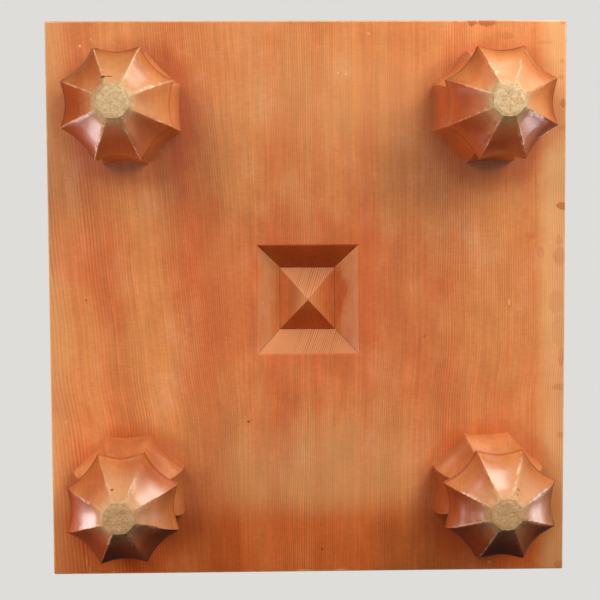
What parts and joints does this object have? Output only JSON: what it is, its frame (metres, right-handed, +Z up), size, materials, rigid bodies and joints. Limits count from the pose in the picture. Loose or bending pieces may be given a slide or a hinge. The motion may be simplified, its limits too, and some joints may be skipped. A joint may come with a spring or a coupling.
{
  "type": "weiqi board",
  "caption": "Thick floor-standing wooden weiqi board: lacquered playing grid on top, carved recess with a pyramid below, fluted gardenia-form legs that pull out of square mortises.",
  "frame": {"origin": "on the floor under the middle of the board, where the legs stand", "axes": "+Z up, +Y along the board's length and its grain, +X along its width; standing on its legs as in play"},
  "size_m": [0.4242, 0.4544, 0.2637],
  "materials": {
    "block_wood": "aged amber softwood, planed, soft sheen",
    "leg_wood": "reddish orange, wiped lacquer, glossy, raw end grain at the feet",
    "lacquer": "black drawn lacquer"
  },
  "bodies": {
    "board": {"board_block": "block_wood", "grid_lines": "lacquer", "star_points": "lacquer"},
    "leg_front_left": {"leg_front_left": "leg_wood"},
    "leg_front_right": {"leg_front_right": "leg_wood"},
    "leg_back_left": {"leg_back_left": "leg_wood"},
    "leg_back_right": {"leg_back_right": "leg_wood"}
  },
  "joints": [
    {"name": "pull_front_left", "type": "slide", "parent": "board", "child": "leg_front_left", "axis": [0, 0, -1], "range_m": [0, 0.042]},
    {"name": "pull_front_right", "type": "slide", "parent": "board", "child": "leg_front_right", "axis": [0, 0, -1], "range_m": [0, 0.042]},
    {"name": "pull_back_left", "type": "slide", "parent": "board", "child": "leg_back_left", "axis": [0, 0, -1], "range_m": [0, 0.042]},
    {"name": "pull_back_right", "type": "slide", "parent": "board", "child": "leg_back_right", "axis": [0, 0, -1], "range_m": [0, 0.042]}
  ]
}
